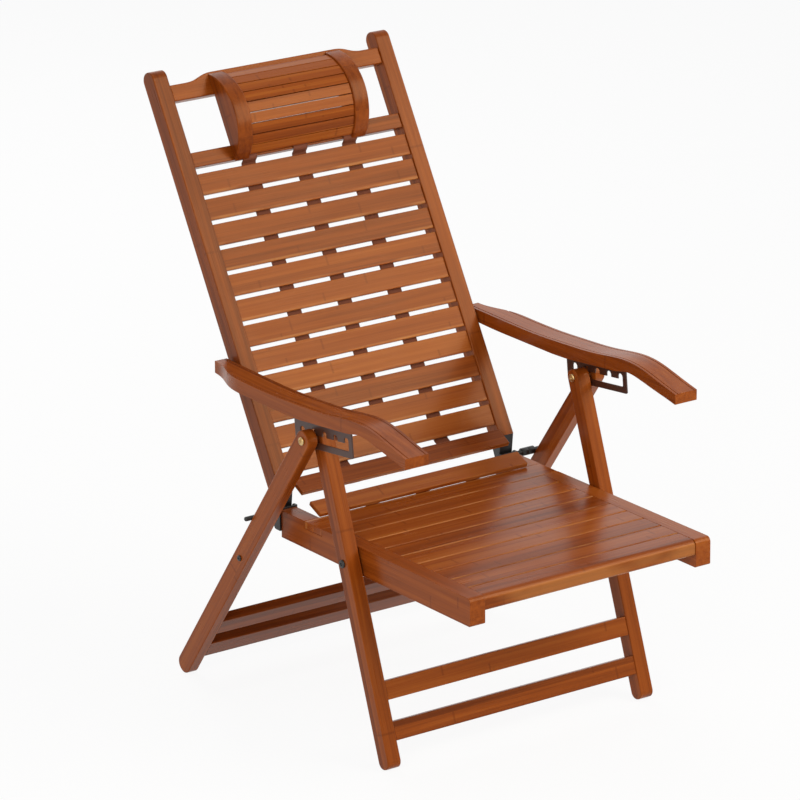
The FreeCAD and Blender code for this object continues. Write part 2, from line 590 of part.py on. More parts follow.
def side_face(top, drop=None):
    if drop is None:
        edges = [through(top), through(under_back), through(under_front)]
        edges += [Part.makeLine(vector(0, *top[0]), vector(0, *under_front[0])),
                  Part.makeLine(vector(0, *top[-1]), vector(0, *under_back[-1])),
                  Part.makeLine(vector(0, *seat_on[0]), vector(0, *seat_on[1])),
                  Part.makeLine(vector(0, *seat_on[1]), vector(0, *seat_on[2]))]
    else:
        lower = [(y, h - drop) for y, h in top]
        upper = [(y, h + 3.0) for y, h in top]
        edges = [through(lower), through(upper),
                 Part.makeLine(vector(0, *lower[0]), vector(0, *upper[0])),
                 Part.makeLine(vector(0, *lower[-1]), vector(0, *upper[-1]))]
    return Part.Face(Part.Wire(Part.__sortEdges__(edges)))


arm_in = front_in + z.arm_side_gap
arm_out = arm_in + z.arm_wide
solid = side_face(top_line).extrude(vector(z.arm_wide, 0, 0))
solid.translate(vector(arm_in, 0, 0))
# The outer edge narrows towards the hinge
narrow = Part.BezierCurve()
taper_from = rear_end - z.arm_taper_long
narrow.setPoles([vector(arm_out, taper_from, 0), vector(arm_out, taper_from + z.arm_taper_long * 0.55, 0),
                 vector(arm_in + z.arm_tail_wide, taper_from + z.arm_taper_long * 0.6, 0),
                 vector(arm_in + z.arm_tail_wide, rear_end + 1, 0)])
waste = [narrow.toShape(),
         Part.makeLine(vector(arm_out, taper_from, 0), vector(arm_out + 20, taper_from, 0)),
         Part.makeLine(vector(arm_out + 20, taper_from, 0), vector(arm_out + 20, rear_end + 1, 0)),
         Part.makeLine(vector(arm_in + z.arm_tail_wide, rear_end + 1, 0),
                       vector(arm_out + 20, rear_end + 1, 0))]
chip = Part.Face(Part.Wire(Part.__sortEdges__(waste))).extrude(vector(0, 0, 900))
solid = solid.cut(chip)
groove_line = [(y, h) for y, h in top_line]
for x in (arm_in + z.groove_inset, arm_out - z.groove_inset - z.groove_wide):
    groove = side_face(groove_line, z.groove_deep).extrude(vector(z.groove_wide, 0, 0))
    groove.translate(vector(x, 0, 0))
    solid = solid.cut(groove)
for side in ("left", "right"):
    armrest = doc.addObject("Part::Feature", "armrest_" + side)
    armrest.Shape = solid if side == "right" else solid.mirror(vector(0, 0, 0), vector(1, 0, 0))
    NODES["armrest_" + side] = armrest

# Leg hinge bolts pass through both legs and, between them, the slot of the notch plate
bolt_reach = "(2*head_thick+front_leg_wide+leg_layer_gap+rear_leg_wide)"
stem = rod("latch_stem", bolt_reach, "latch_bolt_radius", front, front_in - z.head_thick, 0, front_up)
heads = [rod("latch_head_in", "head_thick-working_gap", "head_radius", front, front_in - z.head_thick, 0,
             front_up),
         rod("latch_head_out", "head_thick-working_gap", "head_radius", front, rear_out + z.working_gap, 0,
             front_up)]
pair("latch_bolts", fused("latch_bolt", [stem] + heads))

# Seat pivot bolts join the front legs and the seat rails
stem = rod("pivot_stem", "2*head_thick+rail_wide+side_gap+front_leg_wide", "pivot_bolt_radius", seat,
           rail_in - z.head_thick, 0, 0)
heads = [rod("pivot_head_in", "head_thick-working_gap", "head_radius", seat, rail_in - z.head_thick, 0, 0),
         rod("pivot_head_out", "head_thick", "head_radius", seat, front_out, 0, 0)]
pair("seat_pivot_bolts", fused("pivot_bolt", [stem] + heads))

# Stop screws through the rear legs
stop_uv = (0.0, -z.stop_screw_down)
stem = rod("stop_stem", "rear_leg_wide+1", "latch_bolt_radius", rear, rear_in, *stop_uv)
head = rod("stop_head", "2.5", "latch_bolt_radius+2", rear, rear_out, *stop_uv)
pair("stop_screws", fused("stop_screw", [stem, head]))

# Hinge brackets: a plate on the end of each rail with an ear on either side of the back hinge
hinge_u, hinge_v = seat.local(*back_joint)
ear_reach = "(back_hinge_behind*cos(seat_tilt)+back_hinge_drop*sin(seat_tilt)-rail_behind+ear_behind)"
plate_high = "(end_plate_drop+end_plate_rise)"
ear_outline = [("0", "0"), (ear_reach, "0"), (ear_reach, "end_plate_drop+ear_behind"),
               (ear_reach + "-ear_head", plate_high), ("0", plate_high)]
bracket_members = []
for name, x in (("in", rail_in - z.ear_thick), ("out", rail_out)):
    ear = board("bracket_ear_" + name, ear_outline, "ear_thick", seat, x, z.rail_behind,
                hinge_v - z.end_plate_drop, rounds={1: "ear_round", 2: "ear_round", 3: "ear_round"})
    del NODES[ear.Label]
    bracket_members.append(ear)
bracket_members.append(block("bracket_end", "rail_wide+2*ear_thick", "end_plate_thick", plate_high, seat,
                             rail_in - z.ear_thick, z.rail_behind, hinge_v - z.end_plate_drop))
pair("hinge_brackets", fused("hinge_bracket", bracket_members))

# Rest rods stand out from the brackets and lie on the rear faces of the rear legs, each with a bush
rod_u = z.rear_leg_deep / 2 + z.rest_rod_radius + z.rest_gap
rod_drop = leg_joint[1] - back_joint[1] - z.rest_rod_rise
rod_uv = (rod_u, -(rod_drop + rod_u * sin(radians(z.rear_leg_lean))) / cos(radians(z.rear_leg_lean)))
bush_x = rear_in - z.working_gap - z.bush_long
stem = rod("rest_stem", "side_gap-ear_thick+front_leg_wide+leg_layer_gap+rear_leg_wide+rest_rod_past",
           "rest_rod_radius", rear, rail_out + z.ear_thick, *rod_uv)
bush = rod("rest_bush", "bush_long", "bush_radius", rear, bush_x, *rod_uv)
pair("rest_rods", fused("rest_rod", [stem, bush]))

# Stile brackets: a folded channel under each stile that narrows to the knuckle of the back hinge
bracket_in = (rail_in + rail_out - z.bracket_wide) / 2
low_u, low_v = -z.stile_front, -z.knuckle_radius
shell_outline = [("stile_front-knuckle_radius", "0"), ("stile_front+knuckle_radius", "0"),
                 ("stile_front+knuckle_radius", "knuckle_radius+knuckle_up"),
                 ("stile_deep", "knuckle_radius+stile_from"), ("0", "knuckle_radius+stile_from"),
                 ("stile_front-nose_out", "knuckle_radius+nose_up"),
                 ("stile_front-knuckle_radius", "knuckle_radius+knuckle_up")]
room_outline = [("stile_front-knuckle_radius+bracket_steel", "knuckle_radius+knuckle_up+0.4"),
                ("stile_front+knuckle_radius+2", "knuckle_radius+knuckle_up+0.4"),
                ("stile_front+knuckle_radius+2", "knuckle_radius+stile_from-bracket_steel"),
                ("2*bracket_steel", "knuckle_radius+stile_from-bracket_steel"),
                ("stile_front-nose_out+0.9*bracket_steel", "knuckle_radius+nose_up+0.46*bracket_steel")]
shell = board("stile_bracket_shell", shell_outline, "bracket_wide", back, bracket_in, low_u, low_v,
              rounds={0: "knuckle_radius-0.1", 1: "knuckle_radius-0.1"},
              bores=[("stile_front", "knuckle_radius", "hinge_pin_radius+pin_play")])
room = board("stile_bracket_room", room_outline, "bracket_wide-2*bracket_steel", back,
             bracket_in + z.bracket_steel, low_u, low_v)
for piece in (shell, room):
    del NODES[piece.Label]
pair("stile_brackets", cut("stile_bracket", shell, room))

# Hinge pins, which end just short of the ears
pair("hinge_pins", rod("hinge_pin", "rail_wide-2*working_gap", "hinge_pin_radius", back,
                       rail_in + z.working_gap, 0, 0))

# Arm pivot bolts in the stiles, and a spacer between each stile and its armrest
pair("arm_pivot_bolts", rod("arm_bolt", "stile_wide", "pivot_bolt_radius", back, stile_in, *arm_uv))
spacer_long = "(rail_wide-stile_wide)/2+side_gap+arm_side_gap-2*working_gap"
pair("arm_spacers", rod("arm_spacer", spacer_long, "head_radius", back, stile_out + z.working_gap, *arm_uv))

doc.removeObject(working.Name)
doc.recompute()
wrong = []
for thing in doc.Objects:
    if any(flag in thing.State for flag in ("Invalid", "Error")):
        wrong.append(thing.Name)
for node, thing in NODES.items():
    if thing.Shape.isNull() or not thing.Shape.isValid():
        wrong.append(node)
if wrong:
    raise SystemExit("not valid: " + ", ".join(wrong))
os.makedirs("parts", exist_ok=True)
for node, thing in NODES.items():
    thing.Shape.exportStep("parts/%s.step" % node)

for name, (y, h) in (("seat pivot", seat_joint), ("leg hinge", leg_joint), ("back hinge", back_joint),
                     ("arm hinge", arm_joint)):
    print("%s at y %.3f, z %.3f" % (name, y, h))
box = Part.makeCompound([thing.Shape for thing in NODES.values()]).BoundBox
print("nodes %d, box x %.1f %.1f, y %.1f %.1f, z %.1f %.1f" % (
    len(NODES), box.XMin, box.XMax, box.YMin, box.YMax, box.ZMin, box.ZMax))
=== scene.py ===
# %% [markdown]
# # A folding bamboo recliner
# The chair is already built as solids, one for each real board, strap and bolt. This lesson dresses it:
# it softens the edges, grows bamboo grain along every board, weaves the straps, turns the bolts and
# lights the result like a studio shot. We start by loading the solids.

# %% Load the chair
from math import radians, sin, cos, pi
import bpy
import numpy as np
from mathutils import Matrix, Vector


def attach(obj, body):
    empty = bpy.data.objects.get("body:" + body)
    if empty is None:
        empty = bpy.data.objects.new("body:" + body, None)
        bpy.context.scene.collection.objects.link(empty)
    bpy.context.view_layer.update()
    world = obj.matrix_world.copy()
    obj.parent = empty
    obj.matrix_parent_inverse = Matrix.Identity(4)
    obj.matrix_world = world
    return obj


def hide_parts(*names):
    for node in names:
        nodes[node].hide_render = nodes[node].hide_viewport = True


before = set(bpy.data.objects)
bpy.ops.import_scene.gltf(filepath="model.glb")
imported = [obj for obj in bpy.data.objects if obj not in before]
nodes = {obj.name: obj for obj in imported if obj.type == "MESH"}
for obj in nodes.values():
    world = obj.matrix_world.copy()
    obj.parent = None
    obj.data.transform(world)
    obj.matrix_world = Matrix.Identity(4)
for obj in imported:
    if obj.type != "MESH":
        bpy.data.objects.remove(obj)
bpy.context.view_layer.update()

# %% [markdown]
# ## The camera
# A long lens far away gives the flat, calm perspective of a catalogue picture. We could place it by
# eye, but three plain numbers say it better: the turn round the chair, the height angle, the distance.

# %% Place the camera
LOOK_AT = np.array((-0.1073, -0.0846, 0.555))
TURN, RISE, AWAY = radians(-35.6), radians(18.9), 8.4078
LENS, SENSOR = 229.5, 36.0
toward = np.array((sin(TURN) * cos(RISE), -cos(TURN) * cos(RISE), sin(RISE)))
camera = bpy.data.objects.new("camera", bpy.data.cameras.new("camera"))
camera.data.lens = LENS
camera.data.sensor_width = SENSOR
camera.location = LOOK_AT + AWAY * toward
camera.rotation_euler = Vector(-toward).to_track_quat("-Z", "Y").to_euler()
bpy.context.scene.collection.objects.link(camera)
bpy.context.scene.camera = camera
print("camera at", [round(v, 3) for v in camera.location])

# %% [markdown]
# ## Writing shaders as sums
# Node graphs drawn by hand are hard to read later. Here a small class wraps a socket, so that
# `wave * 0.5 + 0.5` adds its Math nodes by itself. Every other node comes from one method, `add`.

# %% A socket that can be added and multiplied
class Value:
    """One output of a node; arithmetic on it adds Math nodes."""

    def __init__(self, finish, socket):
        self.finish, self.socket = finish, socket

    def math(self, operation, *others):
        sockets = {i: v for i, v in enumerate((self,) + others)}
        return self.finish.add("ShaderNodeMath", {"operation": operation}, sockets)

    def __add__(self, other):
        return self.math("ADD", other)

    def __sub__(self, other):
        return self.math("SUBTRACT", other)

    def __rsub__(self, other):
        return self.finish.add("ShaderNodeMath", {"operation": "SUBTRACT"}, {0: other, 1: self})

    def __mul__(self, other):
        return self.math("MULTIPLY", other)

    def __truediv__(self, other):
        return self.math("DIVIDE", other)

    def __abs__(self):
        return self.math("ABSOLUTE")

    def whole(self):
        return self.math("FLOOR")

    def part(self):
        return self.math("FRACT")

    def biggest(self, other):
        return self.math("MAXIMUM", other)

    def smooth(self, low, high):
        """0 below low, 1 above high, an S-curve between."""
        return self.finish.add("ShaderNodeMapRange", {"interpolation_type": "SMOOTHSTEP"},
                               {0: self, 1: low, 2: high, 3: 0.0, 4: 1.0})


class Finish:
    """A node tree whose nodes are added by one method: a new material's, or one that is given."""

    def __init__(self, name="", tree=None):
        if tree is None:
            self.material = bpy.data.materials.new(name)
            self.material.use_nodes = True
            tree = self.material.node_tree
            self.shader = tree.nodes["Principled BSDF"]
        self.tree = tree

    def add(self, kind, settings=None, sockets=None, output=0):
        """Adds a node: its settings first, then the value or link of each socket."""
        node = self.tree.nodes.new(kind)
        for key, value in (settings or {}).items():
            if key == "stops":
                for k, (place, colour) in enumerate(value):
                    stop = node.color_ramp.elements[k] if k < 2 else node.color_ramp.elements.new(place)
                    stop.position, stop.color = place, (*colour, 1.0)
            else:
                setattr(node, key, value)
        for key, value in (sockets or {}).items():
            self.give(node, key, value)
        return Value(self, node.outputs[output])

    def give(self, node, key, value):
        if isinstance(value, Value):
            self.tree.links.new(value.socket, node.inputs[key])
        else:
            node.inputs[key].default_value = value

    def place(self, axis):
        """How far the surface point lies along a direction, in metres."""
        return self.add("ShaderNodeVectorMath", {"operation": "DOT_PRODUCT"},
                        {0: self.object_point(), 1: axis}, output=1)

    def object_point(self):
        """The surface point in the piece's own space, so that the grain travels with it."""
        return self.add("ShaderNodeTexCoord", output=3)

    def point(self, a, b, c):
        return self.add("ShaderNodeCombineXYZ", None, {0: a, 1: b, 2: c})

    def noise(self, where, scale=1.0, detail=2.0, roughness=0.5):
        return self.add("ShaderNodeTexNoise", None,
                        {"Vector": where, "Scale": scale, "Detail": detail, "Roughness": roughness})

    def speck(self, number):
        """One random value for each whole number."""
        return self.add("ShaderNodeTexWhiteNoise", {"noise_dimensions": "1D"}, {"W": number})

    def blend(self, share, first, second):
        return self.add("ShaderNodeMix", {"data_type": "RGBA"}, {0: share, 6: first, 7: second},
                        output=2)

    def finish(self, bump=None, strength=0.2, distance=0.001, **sockets):
        if bump is not None:
            sockets["Normal"] = self.add("ShaderNodeBump", None,
                                         {"Strength": strength, "Distance": distance, "Height": bump})
        for key, value in sockets.items():
            self.give(self.shader, key.replace("_", " "), value)
        return self.material


print("socket class ready")

# %% [markdown]
# ## Bamboo boards
# The real boards are strips of bamboo glued edge to edge, stained orange-brown and thickly varnished.
# Up close they show hair-fine fibres along the board, strips of slightly different tone, and now and
# then the dark line of a bamboo joint. An image could show that, but only at one size, so the grain is
# computed from the point's place along, across and through the board. Each edge gets a painted highlight,
# a little paler.

# %% Directions of the boards
def lean(angle):
    """Unit vectors (across, along) of a side-view frame turned by the angle about X."""
    c, s = cos(radians(angle)), sin(radians(angle))
    return (0.0, c, s), (0.0, -s, c)


SIDEWAYS = (1.0, 0.0, 0.0)
FRONT_LEG, REAR_LEG, SEAT, BACK = lean(-20.0), lean(35.5), lean(-0.8), lean(-30.4)
SEAT_PIVOT = np.array((0.0, -0.158596, 0.326))
BACK_HINGE = np.array((0.0, 0.073404, 0.322))
DARK, MIDDLE, PALE = (0.140, 0.024, 0.002), (0.290, 0.061, 0.006), (0.410, 0.115, 0.016)
# the next colour is the painted highlight along each board's edges
EDGE_HIGHLIGHT = (0.56, 0.23, 0.065)
VARNISH = (1.0, 0.68, 0.38, 1.0)
STRIPS, FIBRES, STREAKS = 52.0, 900.0, 110.0  # in a metre of width
JOINT_EVERY = 0.34
# how far in from the board's edge the painted highlight reaches
HIGHLIGHT_FROM, HIGHLIGHT_TO = 0.0022, 0.0004  # in from the board's edge
print("seat pivot", SEAT_PIVOT, "back hinge", BACK_HINGE)


# %% The bamboo finish
def bamboo(name, along, across, through, board=0.5, shift=0.0, width=None, tone=0.0, gloss=0.24):
    """Fibres, glued strips, joints and a painted highlight on the edges, from the place along, across and
    through the board.

    board is the pitch of the boards across, shift where the first begins and width their width.
    """
    f = Finish(name)
    a, b, c = f.place(along), f.place(across), f.place(through)
    count = (b - shift) / board
    number = count.whole()
    side = f.place(SIDEWAYS).smooth(-0.02, 0.02) if along != SIDEWAYS else 0.0
    chance = f.speck(number + side * 37.0)
    strip = (b * STRIPS + chance * 9.0).whole()
    strip_chance = f.speck(strip + number * 17.0)
    # fibres: long along the board, about a millimetre across it
    fibre = f.noise(f.point(a * 7.0 + chance * 31.0, b * FIBRES, c * FIBRES), 1.0, 2.0, 0.55)
    streak = f.noise(f.point(a * 2.2 + strip_chance * 19.0, b * STREAKS, c * STREAKS), 1.0, 3.0, 0.6)
    # bamboo joints: thin dark lines, the same distance apart on every strip
    ring = abs((a / JOINT_EVERY + strip_chance * 5.0).part() - 0.5)
    joint = 1.0 - ring.smooth(0.002, 0.009)
    shade = streak * 0.62 + fibre * 0.25 + strip_chance * 0.16 + chance * 0.18 + tone - 0.14
    stops = [(0.22, DARK), (0.50, MIDDLE), (0.82, PALE)]
    colour = f.add("ShaderNodeValToRGB", {"stops": stops}, {0: shade})
    colour = f.blend(joint * 0.45, colour, (*DARK, 1.0))
    cloud = f.noise(f.point(a * 9.0, b * 14.0, c * 14.0), 1.0, 2.0, 0.5)
    if width:
        # painted highlight: the board's edges are blended paler, in patches, in the base colour
        middle = (count - number) * board - width / 2
        edge = abs(middle).smooth(width / 2 - HIGHLIGHT_FROM, width / 2 - HIGHLIGHT_TO)
        colour = f.blend(edge * cloud.smooth(0.35, 0.65) * 0.42, colour, (*EDGE_HIGHLIGHT, 1.0))
    rough = cloud * 0.16 + fibre * 0.06 + gloss - 0.06
    return f.finish(bump=fibre * 0.35 + streak * 0.6 - joint * 0.5, strength=0.16, distance=0.0006,
                    Base_Color=colour, Roughness=rough, Specular_IOR_Level=0.22, Specular_Tint=VARNISH,
                    Coat_Weight=0.03, Coat_Roughness=0.08)


SEAT_PITCH, SEAT_BOARD, BACK_PITCH, BACK_BOARD = 0.0458, 0.0434, 0.0448, 0.0335
seat_first = float(np.dot(SEAT_PIVOT, SEAT[0])) - 0.2621
back_first = float(np.dot(BACK_HINGE, BACK[1])) + 0.602 - BACK_BOARD
bamboos = {
    "seat slats": bamboo("seat_slat_bamboo", SIDEWAYS, SEAT[0], SEAT[1],
                         SEAT_PITCH, seat_first, SEAT_BOARD, 0.04, 0.2),
    "back slats": bamboo("back_slat_bamboo", SIDEWAYS, BACK[1], BACK[0],
                         BACK_PITCH, back_first, BACK_BOARD, 0.02),
    "back rails": bamboo("back_rail_bamboo", SIDEWAYS, BACK[1], BACK[0]),
    "headrest": bamboo("headrest_bamboo", SIDEWAYS, BACK[1], BACK[0], 0.0115, 0.003, None, 0.05),
    "headrest sides": bamboo("headrest_side_bamboo", BACK[1], BACK[0], SIDEWAYS, tone=-0.03),
    "stiles": bamboo("stile_bamboo", BACK[1], BACK[0], SIDEWAYS),
    "seat frame": bamboo("seat_frame_bamboo", SEAT[0], SEAT[1], SIDEWAYS),
    "front legs": bamboo("front_leg_bamboo", FRONT_LEG[1], FRONT_LEG[0], SIDEWAYS),
    "rear legs": bamboo("rear_leg_bamboo", REAR_LEG[1], REAR_LEG[0], SIDEWAYS, tone=-0.02),
    "front bars": bamboo("front_bar_bamboo", SIDEWAYS, FRONT_LEG[1], FRONT_LEG[0]),
    "rear bars": bamboo("rear_bar_bamboo", SIDEWAYS, REAR_LEG[1], REAR_LEG[0], tone=-0.05),
    "armrests": bamboo("armrest_bamboo", (0.0, 1.0, 0.0), SIDEWAYS, (0.0, 0.0, 1.0), gloss=0.2),
}
print("bamboo finishes:", len(bamboos))

# %% [markdown]
# ## Steel and brass
# The brackets, rods and seat bolts are painted black, the notch plates a dark brown, and the bolts and
# spacers under the armrests are dull brass.
# Paint on steel is never quite even: a fine pitted skin, rubbed patches, and roughness that wanders.

# %% Metal finishes
def painted_steel(name, colour, rubbed, gloss):
    """Paint with small pits and cloudy rubbed patches, from noise at two sizes."""
    f = Finish(name)
    spot = f.object_point()
    pits, cloud = f.noise(spot, 1400.0, 2.0), f.noise(spot, 60.0, 4.0)
    patch = cloud.smooth(0.55, 0.75)
    tint = f.blend(patch * 0.5, (*colour, 1.0), (*rubbed, 1.0))
    return f.finish(bump=pits, strength=0.25, distance=0.0003, Base_Color=tint,
                    Roughness=pits * 0.12 + patch * -0.08 + gloss, Metallic=patch * 0.35)


def brass(name):
    """Turned brass: bright metal with tarnish in clouds."""
    f = Finish(name)
    spot = f.object_point()
    cloud, scratch = f.noise(spot, 90.0, 3.0), f.noise(spot, 900.0, 2.0)
    tint = f.blend(cloud.smooth(0.4, 0.7), (0.62, 0.44, 0.20, 1.0), (0.36, 0.22, 0.09, 1.0))
    return f.finish(bump=scratch, strength=0.15, distance=0.0002, Base_Color=tint,
                    Roughness=cloud * 0.3 + 0.18, Metallic=1.0)


black_steel = painted_steel("black_steel", (0.012, 0.011, 0.011), (0.06, 0.055, 0.05), 0.34)
brown_steel = painted_steel("brown_steel", (0.055, 0.017, 0.008), (0.13, 0.05, 0.025), 0.30)
bright_brass = brass("dull_brass")
print("metal finishes: 3")

# %% [markdown]
# ## Who wears what
# Each solid gets the finish whose grain runs its own way. A table of name beginnings keeps it short.

# %% Dress the solids
WEARS = [
    ("seat_slat", "seat slats"), ("seat_front_board", "seat slats"), ("seat_rear_board", "seat slats"),
    ("seat_rail", "seat frame"), ("seat_batten", "seat frame"), ("back_slat", "back slats"),
    ("lower_head_rail", "back rails"), ("crest_rail", "back rails"), ("headrest_slats", "headrest"),
    ("headrest_side", "headrest sides"), ("back_stile", "stiles"), ("front_leg", "front legs"),
    ("rear_leg", "rear legs"), ("front_crossbar", "front bars"), ("rear_crossbar", "rear bars"),
    ("armrest", "armrests"),
]
METALS = {"notch_plate": brown_steel, "hinge_brackets": black_steel, "stile_brackets": black_steel,
          "hinge_pins": black_steel, "arm_spacers": bright_brass}


def wear(piece, material):
    piece.data.materials.clear()
    piece.data.materials.append(material)


for name, piece in nodes.items():
    for start, finish in WEARS:
        if name.startswith(start):
            wear(piece, bamboos[finish])
    for start, metal in METALS.items():
        if name.startswith(start):
            wear(piece, metal)
print("dressed:", sum(bool(p.data.materials) for p in nodes.values()))

# %% [markdown]
# ## Sanded edges
# A sawn board has edges as sharp as the solid's, but varnished furniture is sanded first, and each
# edge catches a thin line of light. A Bevel modifier adds that. The solids arrive as loose triangles,
# so a Weld joins them and a flat dissolve makes whole faces before the bevel.

# %% Soften every edge
def soften(piece, width):
    """Weld, dissolve flat faces, bevel the sharp edges and even out the shading."""
    weld = piece.modifiers.new("weld", "WELD")
    weld.merge_threshold = 0.00002
    flat = piece.modifiers.new("flat", "DECIMATE")
    flat.decimate_type = "DISSOLVE"
    flat.angle_limit = radians(0.5)
    bevel = piece.modifiers.new("sanded", "BEVEL")
    bevel.width = width
    bevel.segments = 2
    bevel.limit_method = "ANGLE"
    bevel.angle_limit = radians(38)
    piece.data.polygons.foreach_set("use_smooth", [True] * len(piece.data.polygons))
    piece.modifiers.new("even", "WEIGHTED_NORMAL")


EDGES = {"seat_slat": 0.0011, "back_slat": 0.0011, "headrest_slats": 0.0005, "headrest_side": 0.0018,
         "seat_front": 0.0014, "seat_rear": 0.0012, "seat_rail": 0.0022, "seat_batten": 0.0012,
         "lower_head_rail": 0.0016, "crest_rail": 0.0022, "front_crossbar": 0.0014,
         "rear_crossbar": 0.0014, "armrest": 0.0016, "notch_plate": 0.0004, "hinge_brackets": 0.0005,
         "stile_brackets": 0.0005}
for name, piece in nodes.items():
    for start, width in EDGES.items():
        if name.startswith(start):
            soften(piece, width)
print("edges softened")

# %% [markdown]
# ## A helper for new pieces
# Every new shape here is a grid of points worked out with numpy. One helper joins neighbours into
# quads; the grid closes on itself like a tube, and its two ends are capped.

# %% Grid to mesh
def grid_mesh(name, points, uv=None):
    """points has shape (rows, columns, 3); columns wrap round, and the first and last row are capped."""
    rows, columns = points.shape[:2]
    number = np.arange(rows * columns).reshape(rows, columns)
    after = np.roll(number, -1, axis=1)
    quads = np.stack([number[:-1], after[:-1], after[1:], number[1:]], -1)
    faces = quads.reshape(-1, 4).tolist() + [number[0, ::-1].tolist(), number[-1].tolist()]
    mesh = bpy.data.meshes.new(name)
    mesh.from_pydata(points.reshape(-1, 3).tolist(), [], faces)
    if uv is not None:
        loops = np.empty(len(mesh.loops), np.int32)
        mesh.loops.foreach_get("vertex_index", loops)
        layer = mesh.uv_layers.new(name="UVMap")
        layer.data.foreach_set("uv", uv.reshape(-1, 2)[loops].astype(np.float32).ravel())
    mesh.polygons.foreach_set("use_smooth", [True] * len(mesh.polygons))
    return mesh


def join(name, meshes, material):
    """Several meshes as one piece with one material."""
    made = []
    for mesh in meshes:
        made.append(bpy.data.objects.new(name, mesh))
        bpy.context.scene.collection.objects.link(made[-1])
    with bpy.context.temp_override(active_object=made[0], object=made[0], selected_objects=made,
                                   selected_editable_objects=made):
        if len(made) > 1:
            bpy.ops.object.join()
    piece = made[0]
    piece.name = name
    wear(piece, material)
    return piece


print("grid helper ready")

# %% [markdown]
# ## The webbing straps
# The slats are held by three woven straps glued down their backs. The solid is a plain bar, so it is
# replaced by a thin band whose edges curl slightly and which sinks a little into each gap. It is a
# surface of two parameters: the distance along the strap's path and the place round its section.
# The weave itself is far too fine to model, so it is a pattern in the finish, on the band's own map.

# %% Woven webbing
STRAP_WIDE, STRAP_THICK, STRAP_APART = 0.029, 0.0024, 0.104
THREADS = 640.0  # in a metre


def webbing(name):
    """A plain weave: two sets of threads pass over and under, as sines of the two map directions."""
    f = Finish(name)
    spot = f.add("ShaderNodeUVMap", {"uv_map": "UVMap"})
    split = f.tree.nodes.new("ShaderNodeSeparateXYZ")
    f.give(split, 0, spot)
    u, v = Value(f, split.outputs[0]), Value(f, split.outputs[1])
    warp, weft = ((way * (2 * pi * THREADS)).math("SINE") for way in (u, v))
    weave = warp * weft * 0.5 + 0.5
    fuzz = f.noise(spot, 900.0, 3.0)
    hem = abs(u - STRAP_WIDE / 2).smooth(0.0112, 0.0128)
    tint = f.blend(weave * 0.6 + fuzz * 0.3, (0.095, 0.019, 0.005, 1.0), (0.250, 0.062, 0.016, 1.0))
    tint = f.blend(hem * 0.5, tint, (0.120, 0.026, 0.007, 1.0))
    return f.finish(bump=weave + hem * 0.8 + fuzz * 0.3, strength=0.5, distance=0.0005, Base_Color=tint,
                    Roughness=fuzz * 0.2 + 0.62)


strap_cloth = webbing("strap_webbing")


# %% Bands along a path
ROW_EVERY, BAND_COLUMNS = 0.0025, 15


def band(name, path, centre, sink=None):
    """A strap along (y, z) points: each row is its section, a thin rounded bar, set square to the path."""
    path = np.array(path, float)
    length = np.concatenate([[0.0], np.cumsum(np.hypot(*np.diff(path, axis=0).T))])
    s = np.linspace(0.0, length[-1], max(12, int(length[-1] / ROW_EVERY)))
    y, z = np.interp(s, length, path[:, 0]), np.interp(s, length, path[:, 1])
    # round the path's corners: each row moves towards its neighbours, three times
    for _ in range(3):
        y[1:-1] = (y[:-2] + 2 * y[1:-1] + y[2:]) / 4
        z[1:-1] = (z[:-2] + 2 * z[1:-1] + z[2:]) / 4
    dy, dz = np.gradient(y), np.gradient(z)
    size = np.hypot(dy, dz)
    ny, nz = -dz / size, dy / size
    if sink is not None:
        y, z = y + ny * sink(s), z + nz * sink(s)
    t = np.linspace(-1.0, 1.0, BAND_COLUMNS)
    across = np.concatenate([t, t[::-1]]) * STRAP_WIDE / 2
    half = STRAP_THICK / 2 * (1.0 - 0.75 * np.abs(t) ** 8)
    curl = -0.0003 * np.abs(t) ** 3
    up = np.concatenate([half + curl, (-half + curl)[::-1]])
    points = np.empty((len(s), len(across), 3))
    points[..., 0] = centre + across
    points[..., 1] = y[:, None] + ny[:, None] * up
    points[..., 2] = z[:, None] + nz[:, None] * up
    uv = np.empty((len(s), len(across), 2))
    uv[..., 0] = across + STRAP_WIDE / 2
    uv[..., 1] = s[:, None]
    return grid_mesh(name, points, uv=uv)


def in_side_view(base, frame_axes, u, v):
    """The (y, z) of a point u across and v along a turned frame, in metres."""
    spot = base + np.array(frame_axes[0]) * u + np.array(frame_axes[1]) * v
    return spot[1], spot[2]


# %% Straps behind the back
FIRST_GAP, GAP_SINK = 0.0180, 0.0004
over = [in_side_view(BACK_HINGE, BACK, u, v) for u, v in ((-0.0313, 0.6215), (-0.0313, 0.6115))]
run = [in_side_view(BACK_HINGE, BACK, -0.02025, v) for v in (0.6075, 0.0690)]
tuck = [in_side_view(BACK_HINGE, BACK, u, v) for u, v in ((-0.0262, 0.0620), (-0.0457, 0.0300))]


def sink_in_gaps(s):
    """The strap bows a little forward where it crosses a gap between slats."""
    return GAP_SINK * np.sin(pi * ((s - FIRST_GAP) / BACK_PITCH)) ** 8


places = (-STRAP_APART, 0.0, STRAP_APART)
meshes = [band("strap", over + run + tuck, x, sink_in_gaps) for x in places]
straps = join("woven_straps", meshes, strap_cloth)
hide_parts("back_straps")
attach(straps, "back")
tail = [in_side_view(SEAT_PIVOT, SEAT, u, v) for u, v in
        ((0.15605, 0.008), (0.15605, 0.0248), (0.181, 0.03565))]
meshes = [band("tail", tail, x) for x in places]
tails = join("woven_strap_ends", meshes, strap_cloth)
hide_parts("strap_ends")
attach(tails, "seat")
print("straps: 3 behind the back, 3 ends on the seat")

# %% [markdown]
# ## Bolts, rods and screws
# Turned metal is a profile spun round the bolt's axis. The heads have a hexagonal socket, so the ring
# radius may also depend on the angle: a grid of (station along the axis, angle round it) covers both.

# %% Turn a bolt
RING = 48  # points round


